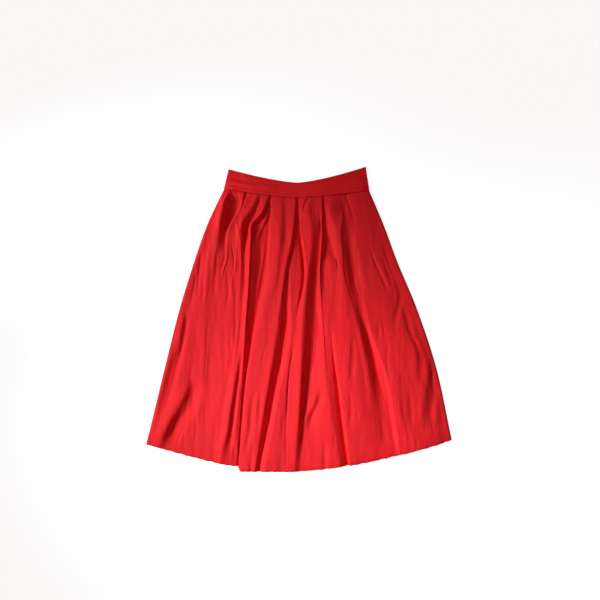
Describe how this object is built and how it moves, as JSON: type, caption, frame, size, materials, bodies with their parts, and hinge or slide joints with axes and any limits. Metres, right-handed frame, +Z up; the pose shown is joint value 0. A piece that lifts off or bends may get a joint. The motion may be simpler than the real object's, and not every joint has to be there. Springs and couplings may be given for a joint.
{
  "type": "pleated midi skirt",
  "caption": "Flared midi skirt laid flat, with wide inverted box pleats that fall open from a plain waistband to a softly folded hem.",
  "frame": {"origin": "middle of the laid skirt's underside: bottom centre of its box, on the surface it lies on", "axes": "+Z up from the surface through the cloth, +Y from the hem to the waist, +X to the wearer's left when the skirt is seen from the front"},
  "size_m": [0.741, 0.778, 0.0228],
  "materials": {
    "panel_cloth": "matt plain-weave cloth, slightly crinkled, bright red",
    "band_cloth": "matt plain-weave cloth, two layers, red"
  },
  "bodies": {
    "root": {"front_panel": "panel_cloth", "back_panel": "panel_cloth", "waistband_front": "band_cloth", "waistband_back": "band_cloth"}
  },
  "joints": []
}
